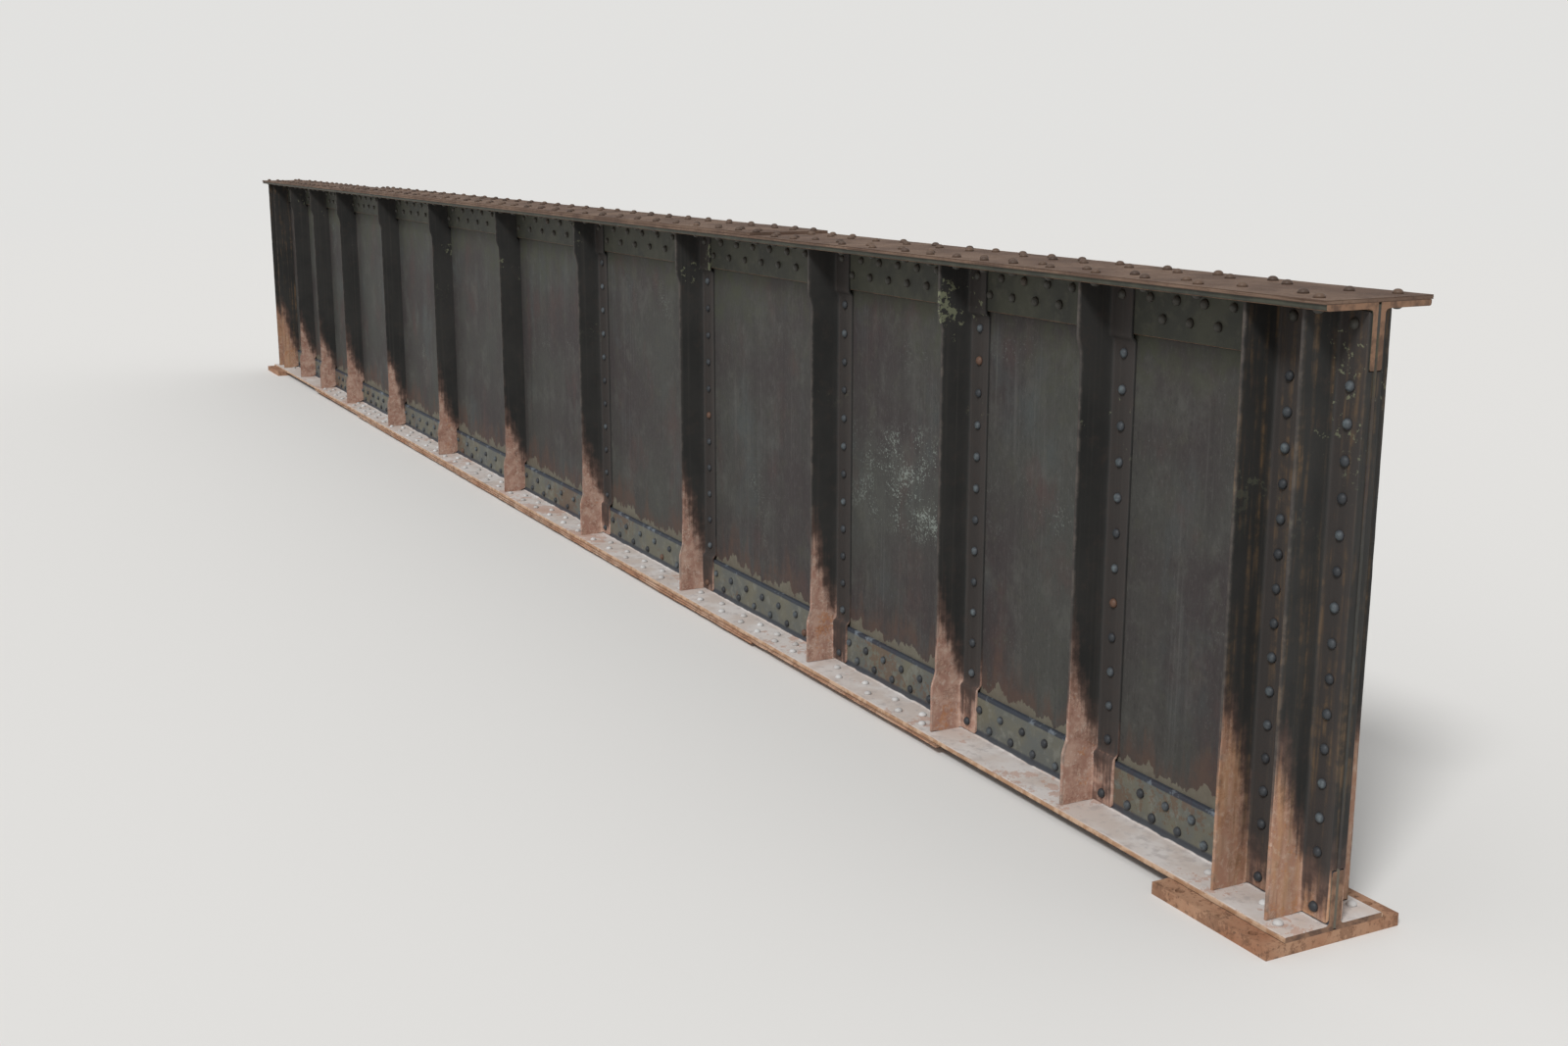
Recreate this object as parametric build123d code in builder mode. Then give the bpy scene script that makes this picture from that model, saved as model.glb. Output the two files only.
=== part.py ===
# Riveted steel plate girder: a deep web plate, four flange angles, cover plates and stiffener angles.
#
# X runs along the girder, and the outer face of the web looks towards -Y. Z is up from the undersides
# of the two sole plates, on which the girder stands. Left and right are as seen from the outer face.
# Sizes are in millimetres. The rivets fill their holes, so the plates are drawn without them.

import os

from build123d import *

# Web and flange angles
girder_length = 15850.0  # 52 ft
web_depth = 1981.0  # 78 in
web_thickness = 11.0
web_setback = 6.5  # the web's edges stop short of the backs of the angles
flange_leg = 203.0  # 8 x 8 x 3/4 in angles
flange_thickness = 19.0
flange_root_radius = 16.0
flange_toe_radius = 8.0

# Cover plates, the first against the angles and the second on the first. Below they stop short of the
# girder's ends, and so does the second one above.
cover_width = 432.0
cover_thickness = 13.0
first_cover_setback = 2050.0
second_cover_setback = 3810.0

# Sole plates
sole_length = 560.0
sole_width = 560.0
sole_thickness = 44.0
sole_bolt_hole = 33.0
sole_bolts_along = 356.0
sole_bolts_across = 488.0

# Stiffener angles, 6 x 5 x 3/8 in with the longer leg standing out, placed by their heels. Counted in
# from each end, the panels widen. The middle ones share what is left up to midspan, each of them longer
# than the one before it.
stiffener_outer_leg = 152.0
stiffener_web_leg = 127.0
stiffener_thickness = 10.0
stiffener_root_radius = 12.0
stiffener_toe_radius = 5.0
rivet_gauge = 66.0  # heel to the line of rivets in the web leg
end_angle_setback = 130.0  # heel of the end angle to the girder's end
bearing_setback = 386.0  # heel of the bearing stiffener to the girder's end
end_panel = 851.0
second_panel = 925.0
third_panel = 1119.0
middle_panels = 3  # each side of midspan
middle_widening = 40.0

# The crimp by which a stiffener steps off the web and over a flange leg: sharp along the web leg, and
# drawn out towards the free edge of the other leg
web_crimp = 30.0
edge_crimp = 76.0
crimp_clearance = 6.0

# Workshop clearances
cope_clearance = 1.5  # round the flange angle's root
filler_clearance = 3.0  # between a filler and the edges of the flange legs

# Heights of the backs of the flange angles, and the mid-depth of the web
bottom_back = sole_thickness
top_back = bottom_back + web_depth + 2 * web_setback
mid_depth = (bottom_back + top_back) / 2
web_face = web_thickness / 2
half_length = girder_length / 2

# Where the stiffeners stand: between the flanges, from the top of one leg to the underside of the other
foot = bottom_back + flange_thickness
head = top_back - flange_thickness
cope = flange_root_radius + cope_clearance

os.makedirs("parts", exist_ok=True)


def save(piece, name):
    """Label one finished piece and write it."""
    piece.label = name
    export_step(piece, f"parts/{name}.step")


def leg_plane(heel, first_leg, second_leg):
    """Plane at an angle's heel, with its local X and Y along the two legs."""
    normal = Vector(*first_leg).cross(Vector(*second_leg))
    return Plane(origin=heel, x_dir=first_leg, z_dir=normal)


def rolled_angle(plane, legs, thickness, root_radius, toe_radius):
    """Section of a rolled angle, with its heel at the plane's origin and its legs along X and Y."""
    along, across = legs
    with BuildSketch(plane) as section:
        with BuildLine():
            Polyline(
                (0, 0),
                (along, 0),
                (along, thickness),
                (thickness, thickness),
                (thickness, across),
                (0, across),
                close=True,
            )
        make_face()
        fillet(vertices().sort_by_distance((thickness, thickness))[0], radius=root_radius)
        for toe in [(along, thickness), (thickness, across)]:
            fillet(vertices().sort_by_distance(toe)[0], radius=toe_radius)
    return section.sketch


def root_cope(end, inward):
    """Corner to cut from a stiffener's end, where it would foul the root of the flange angle."""
    with BuildSketch(Plane.YZ) as corner:
        with BuildLine():
            Polyline(
                (web_face + flange_thickness, end),
                (web_face + flange_thickness + cope, end),
                (web_face + flange_thickness, end + inward * cope),
                close=True,
            )
        make_face()
    return corner.sketch


# Web plate: one sheet, full length.
with BuildPart() as web_plate:
    with Locations((0, 0, mid_depth)):
        Box(girder_length, web_thickness, web_depth)
save(web_plate.part, "web_plate")

# Flange angles: a pair at each edge of the web, back to back across it.
for level, back, inward in [("bottom", bottom_back, 1), ("top", top_back, -1)]:
    for face, outward in [("outer", -1), ("inner", 1)]:
        with BuildPart() as flange_angle:
            heel = (0, outward * web_face, back)
            plane = leg_plane(heel, (0, outward, 0), (0, 0, inward))
            section = rolled_angle(
                plane,
                (flange_leg, flange_leg),
                flange_thickness,
                flange_root_radius,
                flange_toe_radius,
            )
            extrude(section, amount=half_length, both=True)
        save(flange_angle.part, f"{level}_flange_angle_{face}")

# Cover plates: two under the bottom angles and two on the top ones, where the first runs full length.
for level, back, away, first_setback in [
    ("bottom", bottom_back, -1, first_cover_setback),
    ("top", top_back, 1, 0),
]:
    for layer, setback in [(1, first_setback), (2, second_cover_setback)]:
        with BuildPart() as cover_plate:
            with Locations((0, 0, back + away * (layer - 0.5) * cover_thickness)):
                Box(girder_length - 2 * setback, cover_width, cover_thickness)
        save(cover_plate.part, f"{level}_cover_plate_{layer}")

# Sole plates: riveted up under each end, with four bolt holes outside the flange.
for end, toward_end in [("left", -1), ("right", 1)]:
    centre_x = toward_end * (half_length - sole_length / 2)
    with BuildPart() as sole_plate:
        with Locations((centre_x, 0, sole_thickness / 2)):
            Box(sole_length, sole_width, sole_thickness)
            with GridLocations(sole_bolts_along, sole_bolts_across, 2, 2):
                Hole(radius=sole_bolt_hole / 2)
    save(sole_plate.part, f"sole_plate_{end}")


def crimped_strip(near, far, far_crimp):
    """Lower half of a plate edge-on between two distances from the web, stepped out over the flange leg."""
    grip = bottom_back + flange_leg + crimp_clearance  # the crimp starts just past the edge of the leg
    with BuildSketch(Plane.YZ) as strip:
        with BuildLine():
            Polyline(
                (near + flange_thickness, foot),
                (near + flange_thickness, grip),
                (near, grip + web_crimp),
                (near, mid_depth),
                (far, mid_depth),
                (far, grip + far_crimp),
                (far + flange_thickness, grip),
                (far + flange_thickness, foot),
                close=True,
            )
        make_face()
    return strip.sketch


def edges_facing_out(x):
    """Edges at one X of the faces that look away from the web, in the open part."""
    looking_out = faces().filter_by(lambda face: face.normal_at().Y > 0.5)
    return looking_out.edges().filter_by_position(Axis.X, x - 0.1, x + 0.1)


# Crimped stiffener: a rolled angle pressed to step over both flange legs, and tight between the flanges.
# It is drawn once, on the inner face, with its heel on X = 0 and its web leg towards +X.
with BuildPart() as crimped_angle:
    outer_leg = crimped_strip(web_face, web_face + stiffener_outer_leg, edge_crimp)
    extrude(outer_leg, amount=stiffener_thickness)
    web_leg = crimped_strip(web_face, web_face + stiffener_thickness, web_crimp)
    extrude(web_leg, amount=stiffener_web_leg)
    root = edges_facing_out(stiffener_thickness).filter_by_position(Axis.Y, 0, stiffener_outer_leg / 2)
    fillet(root, radius=stiffener_root_radius)
    outer_toe = edges_facing_out(stiffener_thickness)
    fillet(outer_toe, radius=stiffener_toe_radius)
    web_toe = edges_facing_out(stiffener_web_leg)
    fillet(web_toe, radius=stiffener_toe_radius)
    mirror(about=Plane.XY.offset(mid_depth))
    for end, inward in [(foot, 1), (head, -1)]:
        extrude(root_cope(end, inward), amount=stiffener_web_leg, mode=Mode.SUBTRACT)

# Intermediate stiffeners, in pairs across the web. They are numbered from the left, and their web legs
# turn away from midspan. The middle pair's turn to the left, with their rivets at midspan.
last_crimped = half_length - bearing_setback - end_panel
middle_reach = last_crimped - second_panel - third_panel
reach = []
for step in range(1, middle_panels + 1):
    widened = middle_widening * step * (middle_panels - step) / 2
    reach.append(middle_reach * step / middle_panels + widened)
reach += [middle_reach + third_panel, last_crimped]
heels = [-x for x in reversed(reach)] + [rivet_gauge] + reach
for number, heel_x in enumerate(heels, start=1):
    for face, across in [("outer", -1), ("inner", 1)]:
        with BuildPart() as stiffener:
            add(crimped_angle.part)
            if heel_x <= rivet_gauge:
                mirror(about=Plane.YZ, mode=Mode.REPLACE)
            if across < 0:
                mirror(about=Plane.XZ, mode=Mode.REPLACE)
        save(Pos(heel_x, 0, 0) * stiffener.part, f"stiffener_{face}_{number:02d}")

# Bearing stiffeners and end angles: straight angles on fillers as thick as the flange legs, with their
# web legs turned towards the girder's end.
for end, toward_end in [("left", -1), ("right", 1)]:
    for kind, setback in [("bearing_stiffener", bearing_setback), ("end_angle", end_angle_setback)]:
        heel_x = toward_end * (half_length - setback)
        for face, outward in [("outer", -1), ("inner", 1)]:
            with BuildPart() as filler:
                filler_centre = (
                    heel_x + toward_end * stiffener_web_leg / 2,
                    outward * (web_face + flange_thickness / 2),
                    mid_depth,
                )
                with Locations(filler_centre):
                    clear_depth = top_back - bottom_back - 2 * (flange_leg + filler_clearance)
                    Box(stiffener_web_leg, flange_thickness, clear_depth)
            save(filler.part, f"{kind}_filler_{face}_{end}")
            with BuildPart() as straight_angle:
                heel = (0, web_face + flange_thickness, mid_depth)
                section = rolled_angle(
                    leg_plane(heel, (1, 0, 0), (0, 1, 0)),
                    (stiffener_web_leg, stiffener_outer_leg),
                    stiffener_thickness,
                    stiffener_root_radius,
                    stiffener_toe_radius,
                )
                extrude(section, amount=(head - foot) / 2, both=True)
                for cut, inward in [(foot, 1), (head, -1)]:
                    extrude(root_cope(cut, inward), amount=stiffener_web_leg, mode=Mode.SUBTRACT)
                if toward_end < 0:
                    mirror(about=Plane.YZ, mode=Mode.REPLACE)
                if outward < 0:
                    mirror(about=Plane.XZ, mode=Mode.REPLACE)
            save(Pos(heel_x, 0, 0) * straight_angle.part, f"{kind}_{face}_{end}")
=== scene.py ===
# Looks of a riveted steel plate girder that has stood in the open for about a century.
# +X runs along the girder, -Y looks out of its outer face and +Z is up. Lengths are in metres.

import math
import random

import bmesh
import bpy
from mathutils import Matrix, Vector, noise


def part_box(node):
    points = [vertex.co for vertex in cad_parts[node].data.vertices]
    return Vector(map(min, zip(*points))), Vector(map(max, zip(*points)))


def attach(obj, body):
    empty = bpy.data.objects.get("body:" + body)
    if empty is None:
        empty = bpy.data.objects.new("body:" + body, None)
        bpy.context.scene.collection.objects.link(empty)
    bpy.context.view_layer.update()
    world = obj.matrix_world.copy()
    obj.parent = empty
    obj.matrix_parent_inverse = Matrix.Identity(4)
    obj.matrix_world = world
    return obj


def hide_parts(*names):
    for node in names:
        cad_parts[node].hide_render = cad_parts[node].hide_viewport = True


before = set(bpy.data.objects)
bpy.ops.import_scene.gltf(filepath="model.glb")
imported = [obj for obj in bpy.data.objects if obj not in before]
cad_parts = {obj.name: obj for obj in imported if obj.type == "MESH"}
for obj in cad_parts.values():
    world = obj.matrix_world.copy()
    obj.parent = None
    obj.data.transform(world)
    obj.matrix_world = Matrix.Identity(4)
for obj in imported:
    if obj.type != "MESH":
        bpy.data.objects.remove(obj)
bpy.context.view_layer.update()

random.seed(52)


# Web plate
# One rolled steel sheet, 78 in deep, that carries the shear from flange to flange. It has old dark brown
# paint, streaked by rain, with pale scale where the paint lifts and a crust of splashed dirt low down.
half_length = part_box("web_plate")[1].x
bottom_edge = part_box("bottom_flange_angle_outer")[1].z  # upper edge of the bottom angles
growth_starts = 1.50  # height at which green growth begins, and from which it is everywhere
growth_everywhere = 1.85
low_rust_height = 0.24  # most that rust and dirt climb above the bottom angles
crust_height = 0.082
crust_tear = 0.045
web_runs_start = 0.62  # from the girder's end, and where the runs are strongest
web_runs_full = 0.30

brown_black = (0.043, 0.036, 0.036, 1)
grey_black = (0.052, 0.052, 0.047, 1)
red_primer = (0.070, 0.043, 0.040, 1)
blue_top_coat = (0.059, 0.068, 0.068, 1)
olive_stain = (0.062, 0.062, 0.046, 1)
dust_film = (0.086, 0.086, 0.077, 1)
pale_wash = (0.098, 0.096, 0.090, 1)
dark_wash = (0.027, 0.025, 0.024, 1)
pale_speck = (0.104, 0.102, 0.094, 1)
dark_speck = (0.026, 0.024, 0.024, 1)
green_growth = (0.052, 0.057, 0.034, 1)
scale_haze = (0.130, 0.142, 0.130, 1)
pale_scale = (0.235, 0.265, 0.238, 1)
low_rust = (0.084, 0.052, 0.040, 1)
crust_brown = (0.112, 0.102, 0.076, 1)
crust_buff = (0.178, 0.165, 0.128, 1)
yellow_wash = (0.170, 0.108, 0.058, 1)


def add_node(tree, kind, inputs=None, **settings):
    """Add a shader node, set it up, and set or link its inputs by name or number."""
    new = tree.nodes.new("ShaderNode" + kind)
    for name, value in settings.items():
        setattr(new, name, value)
    for name, value in (inputs or {}).items():
        if isinstance(value, bpy.types.NodeSocket):
            tree.links.new(value, new.inputs[name])
        else:
            new.inputs[name].default_value = value
    return new


def calc(tree, operation, first, *others):
    """Arithmetic on numbers, from left to right."""
    answer = first
    for other in others or (0.0,):
        answer = add_node(tree, "Math", {0: answer, 1: other}, operation=operation).outputs[0]
    return answer


def times(tree, first, *others):
    """Numbers or masks multiplied together."""
    return calc(tree, "MULTIPLY", first, *others)


def vector_calc(tree, operation, first, second=(0, 0, 0)):
    """Arithmetic on vectors, which gives a number for LENGTH."""
    maths = add_node(tree, "VectorMath", {0: first, 1: second}, operation=operation)
    return maths.outputs["Value" if operation == "LENGTH" else "Vector"]


def axes(tree, vector):
    """Parts of a place or a direction along X, Y and Z."""
    return add_node(tree, "SeparateXYZ", {0: vector}).outputs


def spread(tree, value, low, high, start=0.0, end=1.0):
    """Stretch the values between low and high over start to end, with a soft knee at both."""
    inputs = {"Value": value, "From Min": low, "From Max": high, "To Min": start, "To Max": end}
    return add_node(tree, "MapRange", inputs, interpolation_type="SMOOTHSTEP").outputs[0]


def tint(tree, share, under, over, strength=1.0):
    """Lay one colour over another by a mask and a strength."""
    if strength != 1.0:
        share = times(tree, share, strength)
    return add_node(tree, "Mix", {0: share, 6: under, 7: over}, data_type="RGBA").outputs[2]


def mottle(tree, place, scale, detail=4.0, roughness=0.55, stretch=(1, 1, 1)):
    """Noise over the surface, with the pattern stretched along the axes."""
    stretched = vector_calc(tree, "MULTIPLY", place, stretch)
    inputs = {"Vector": stretched, "Scale": scale, "Detail": detail, "Roughness": roughness}
    return add_node(tree, "TexNoise", inputs).outputs[0]


def waver(tree, pattern, reach):
    """Unevenness to add to a distance: noise that swings about 0, by up to half the reach."""
    return times(tree, calc(tree, "SUBTRACT", pattern, 0.5), reach)


def shader_group(name, inputs):
    """Start a node group that gives one mask, and return its tree, its inputs and its output."""
    group = bpy.data.node_groups.new(name, "ShaderNodeTree")
    for label, value in inputs.items():
        socket = group.interface.new_socket(label, in_out="INPUT", socket_type="NodeSocketFloat")
        socket.default_value = value
    group.interface.new_socket("Mask", in_out="OUTPUT", socket_type="NodeSocketFloat")
    given = group.nodes.new("NodeGroupInput").outputs
    mask = group.nodes.new("NodeGroupOutput").inputs["Mask"]
    return group, given, mask


def use_group(tree, group, **inputs):
    """Place a shared effect in a material with its own values, and return its mask."""
    placed = tree.nodes.new("ShaderNodeGroup")
    placed.node_tree = group
    for name, value in inputs.items():
        placed.inputs[name].default_value = value
    return placed.outputs["Mask"]


def rain_streak_group():
    """Long thin runs down a wall, where rain has carried dirt or rust."""
    group, given, mask = shader_group("Rain streaks", {"Width": 0.02, "Run": 0.8, "Low": 0.5, "High": 0.75})
    place = add_node(group, "TexCoord").outputs["Object"]
    across = calc(group, "DIVIDE", 1.0, given["Width"])
    down = calc(group, "DIVIDE", 1.0, given["Run"])
    rates = add_node(group, "CombineXYZ", {"X": across, "Y": across, "Z": down}).outputs[0]
    drawn_out = vector_calc(group, "MULTIPLY", place, rates)
    runs = add_node(group, "TexNoise", {"Vector": drawn_out, "Scale": 1.0, "Detail": 3.0}).outputs[0]
    group.links.new(spread(group, runs, given["Low"], given["High"]), mask)
    return group


def flake_group():
    """Small chips in drifts: a fine broken pattern that shows only where a broad one is strong."""
    values = {"Size": 0.01, "Drift": 0.4, "Cover": 0.5, "Clump": 1.2, "Break": 0.55}
    group, given, mask = shader_group("Flakes", values)
    place = add_node(group, "TexCoord").outputs["Object"]
    fine_rate = calc(group, "DIVIDE", 1.0, given["Size"])
    broad_rate = calc(group, "DIVIDE", 1.0, given["Drift"])
    fine_inputs = {"Vector": place, "Scale": fine_rate, "Detail": 5.0, "Roughness": 0.7}
    fine = add_node(group, "TexNoise", fine_inputs).outputs[0]
    broad = add_node(group, "TexNoise", {"Vector": place, "Scale": broad_rate, "Detail": 2.0}).outputs[0]
    gathered = times(group, calc(group, "SUBTRACT", broad, given["Cover"]), given["Clump"])
    over = calc(group, "SUBTRACT", calc(group, "ADD", fine, gathered), given["Break"])
    group.links.new(spread(group, over, 0.0, 0.03), mask)
    return group


rain_streaks = rain_streak_group()
flakes = flake_group()


def new_material(name, roughness):
    """Start a material, and return it with its tree, its shader and the place on the object."""
    material = bpy.data.materials.new(name)
    material.use_nodes = True
    tree = material.node_tree
    shader = tree.nodes["Principled BSDF"]
    shader.inputs["Roughness"].default_value = roughness
    shader.inputs["Specular IOR Level"].default_value = 0.25
    return material, tree, shader, add_node(tree, "TexCoord").outputs["Object"]


def coat(tree, shader, colour, relief, depth, strength):
    """Give a shader its colour, and its relief as a bump."""
    bump = add_node(tree, "Bump", {"Height": relief, "Distance": depth, "Strength": strength})
    tree.links.new(colour, shader.inputs["Base Color"])
    tree.links.new(bump.outputs[0], shader.inputs["Normal"])


# Two wide drifts of scale, one over the other, in the panel before the last stiffener but one
drift_middles = [(5.28, 1.13), (5.32, 0.93)]
drift_height = 0.26  # as a share of its width
drift_full = 0.21  # reach to each side where it is dense, and where it has died out
drift_gone = 0.77


def drift_mask(tree, place, uneven):
    """Where the scale is worst: in the drifts, on the outer face alone."""
    worst = 0.0
    for drift_x, drift_z in drift_middles:
        from_middle = vector_calc(tree, "SUBTRACT", place, (drift_x, 0, drift_z))
        from_middle = vector_calc(tree, "MULTIPLY", from_middle, (1, 0, 1 / drift_height))
        reach = calc(tree, "ADD", vector_calc(tree, "LENGTH", from_middle), waver(tree, uneven, 0.5))
        worst = calc(tree, "MAXIMUM", worst, spread(tree, reach, drift_full, drift_gone, 1.0, 0.0))
    outer_face = calc(tree, "LESS_THAN", axes(tree, place)["Y"], 0.0)
    return times(tree, worst, outer_face)


def web_paint():
    """Old paint in layers, each stained, washed or worn in its own pattern."""
    material, tree, shader, place = new_material("web_paint", 0.72)
    parts = axes(tree, place)
    height = parts["Z"]
    broad = mottle(tree, place, 1.3)
    middle = mottle(tree, place, 9.0, 6.0, 0.65)
    fine = mottle(tree, place, 160.0, 4.0, 0.7)
    speckle = mottle(tree, place, 90.0, 5.0, 0.75, (1.0, 1.0, 0.45))
    colour = tint(tree, spread(tree, broad, 0.35, 0.65), brown_black, grey_black)
    # Blotches of red-brown primer and of blue-grey top coat
    primer = mottle(tree, place, 3.1, 5.0, 0.6, (1.0, 1.0, 0.6))
    colour = tint(tree, spread(tree, primer, 0.52, 0.72, 0.0, 0.7), colour, red_primer)
    top_coat = mottle(tree, place, 2.3, 6.0, 0.6, (1.0, 1.0, 0.7))
    colour = tint(tree, spread(tree, top_coat, 0.53, 0.70, 0.0, 0.6), colour, blue_top_coat)
    colour = tint(tree, spread(tree, middle, 0.50, 0.75, 0.0, 0.5), colour, olive_stain)
    # A film of pale dust in soft clouds
    clouds = mottle(tree, place, 4.2, 6.0, 0.7, (1.0, 1.0, 0.8))
    colour = tint(tree, spread(tree, clouds, 0.49, 0.68, 0.0, 0.5), colour, dust_film)
    # Lighter runs all the way down, and darker ones between them
    pale_runs = use_group(tree, rain_streaks, Width=0.016, Run=0.9, Low=0.5, High=0.8)
    pale_runs = times(tree, pale_runs, spread(tree, top_coat, 0.42, 0.64, 0.06, 0.5))
    colour = tint(tree, pale_runs, colour, pale_wash)
    dark_runs = use_group(tree, rain_streaks, Width=0.07, Run=1.6, Low=0.52, High=0.72)
    colour = tint(tree, dark_runs, colour, dark_wash, 0.22)
    colour = tint(tree, spread(tree, speckle, 0.54, 0.68, 0.0, 0.35), colour, pale_speck)
    colour = tint(tree, spread(tree, speckle, 0.46, 0.34, 0.0, 0.4), colour, dark_speck)
    # Green growth under the top flange
    uneven_height = calc(tree, "ADD", height, waver(tree, broad, 0.9))
    growth = spread(tree, uneven_height, growth_starts, growth_everywhere)
    growth = times(tree, growth, spread(tree, middle, 0.4, 0.6, 0.1, 0.55))
    colour = tint(tree, growth, colour, green_growth)
    # Pale scale in fine specks where the paint lifts, most of all in the drifts
    few = use_group(tree, flakes, Size=0.010, Drift=0.45, Cover=0.60, Clump=0.9, Break=0.67)
    many = use_group(tree, flakes, Size=0.010, Drift=0.16, Cover=0.50, Clump=0.60, Break=0.585)
    worst = drift_mask(tree, place, middle)
    haze = times(tree, worst, spread(tree, middle, 0.42, 0.62, 0.0, 0.12))
    colour = tint(tree, haze, colour, scale_haze)
    scale = calc(tree, "MAXIMUM", times(tree, few, 0.45), times(tree, many, worst))
    colour = tint(tree, scale, colour, pale_scale, 0.75)
    # Rust and a ragged crust of dirt just above the bottom angle
    above = calc(tree, "SUBTRACT", height, bottom_edge)
    ragged = mottle(tree, place, 6.5, 4.0, 0.65, (1.0, 1.0, 0.12))
    torn = mottle(tree, place, 40.0, 3.0, 0.6)
    rust_reach = spread(tree, ragged, 0.3, 0.7, 0.0, low_rust_height)
    rusty = spread(tree, calc(tree, "SUBTRACT", rust_reach, above), -0.07, 0.07)
    rusty = times(tree, rusty, spread(tree, middle, 0.35, 0.6, 0.25, 0.75))
    colour = tint(tree, rusty, colour, low_rust)
    crust_reach = spread(tree, ragged, 0.32, 0.72, 0.0, crust_height)
    crust_reach = calc(tree, "ADD", crust_reach, times(tree, torn, crust_tear))
    crust = spread(tree, calc(tree, "SUBTRACT", crust_reach, above), 0.018, 0.024)
    crust_cover = times(tree, crust, spread(tree, middle, 0.3, 0.6, 0.95, 0.7))
    colour = tint(tree, crust_cover, colour, tint(tree, torn, crust_brown, crust_buff))
    # Yellow-brown runs near the girder's ends
    from_midspan = calc(tree, "ABSOLUTE", parts["X"])
    near_ends = spread(tree, from_midspan, half_length - web_runs_start, half_length - web_runs_full)
    rust_runs = use_group(tree, rain_streaks, Width=0.026, Run=0.6, Low=0.46, High=0.78)
    rust_runs = times(tree, rust_runs, spread(tree, middle, 0.40, 0.62, 0.1, 0.6), near_ends)
    colour = tint(tree, rust_runs, colour, yellow_wash)
    relief = calc(tree, "ADD", times(tree, fine, 0.25), times(tree, scale, 0.6))
    relief = calc(tree, "ADD", relief, times(tree, crust, 0.7))
    coat(tree, shader, colour, relief, 0.0015, 0.6)
    return material


def dress(material, *names):
    """Give a material to pieces that keep their own shape."""
    for name in names:
        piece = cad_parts[name]
        piece.data.materials.clear()
        piece.data.materials.append(material)


dress(web_paint(), "web_plate")


# Flange angles
# Four rolled 8 x 8 x 3/4 in angles, back to back across the web at both edges, held by two staggered rows
# of rivets. Grey-green paint is left on their upright legs, and dust lies on the bottom ones' ledges.
bottom_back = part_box("bottom_flange_angle_outer")[0].z
top_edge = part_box("top_flange_angle_outer")[0].z
ledge_reach = -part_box("bottom_flange_angle_outer")[0].y  # out from the middle of the web
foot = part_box("stiffener_outer_01")[0].z  # the ledges, on which the stiffeners stand
flange_plate = foot - bottom_back
toe_middle = 0.006  # below the upright leg's edge
toe_band_full = 0.007  # reach to each side where the blue-black band is full, and where it has faded out
toe_ends = 0.013
corner_shade_full_to = 0.040  # height over the angle's back where the painted shade is full, and where it is gone
corner_shade_gone_from = 0.052

grey_green = (0.104, 0.110, 0.103, 1)
olive_green = (0.134, 0.127, 0.095, 1)
chalky_green = (0.178, 0.180, 0.156, 1)
thin_rust = (0.120, 0.070, 0.044, 1)
shaded_green = (0.041, 0.042, 0.034, 1)
shaded_olive = (0.057, 0.058, 0.042, 1)
shaded_dust = (0.074, 0.073, 0.055, 1)
toe_black = (0.024, 0.031, 0.048, 1)
toe_chip = (0.135, 0.160, 0.190, 1)
corner_painted_shade = (0.034, 0.040, 0.056, 1)
sawn_dark = (0.120, 0.068, 0.045, 1)
sawn_rust = (0.250, 0.140, 0.085, 1)
dust_tan = (0.56, 0.490, 0.445, 1)
dust_pale = (0.64, 0.600, 0.575, 1)
dust_grey = (0.40, 0.360, 0.345, 1)
dust_stain = (0.44, 0.235, 0.155, 1)
edge_orange = (0.37, 0.215, 0.125, 1)
edge_tan = (0.50, 0.345, 0.235, 1)
damp_rust = (0.070, 0.040, 0.028, 1)


def facing(tree):
    """Direction that the surface looks in, along X, Y and Z."""
    return axes(tree, add_node(tree, "TexCoord").outputs["Normal"])


def ledge_dust_group():
    """Settled dust: strong on faces that look up, and broken at its edges."""
    group, given, mask = shader_group("Ledge dust", {"Cover": 0.5, "Grain": 14.0})
    place = add_node(group, "TexCoord").outputs["Object"]
    up = axes(group, add_node(group, "NewGeometry").outputs["Normal"])["Z"]
    inputs = {"Vector": place, "Scale": given["Grain"], "Detail": 5.0}
    pattern = add_node(group, "TexNoise", inputs).outputs[0]
    lying = calc(group, "ADD", up, calc(group, "SUBTRACT", pattern, 0.5), given["Cover"])
    group.links.new(spread(group, lying, 1.1, 1.35), mask)
    return group


ledge_dust = ledge_dust_group()


def ledge_dust_colour(tree, broad, middle):
    """Dust and grit, with stains where water stands."""
    colour = tint(tree, spread(tree, broad, 0.4, 0.62), dust_tan, dust_pale)
    colour = tint(tree, spread(tree, middle, 0.5, 0.7, 0.0, 0.6), colour, dust_grey)
    stain = use_group(tree, flakes, Size=0.05, Drift=0.5, Cover=0.5, Break=0.62)
    return tint(tree, stain, colour, dust_stain, 0.55)


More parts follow.
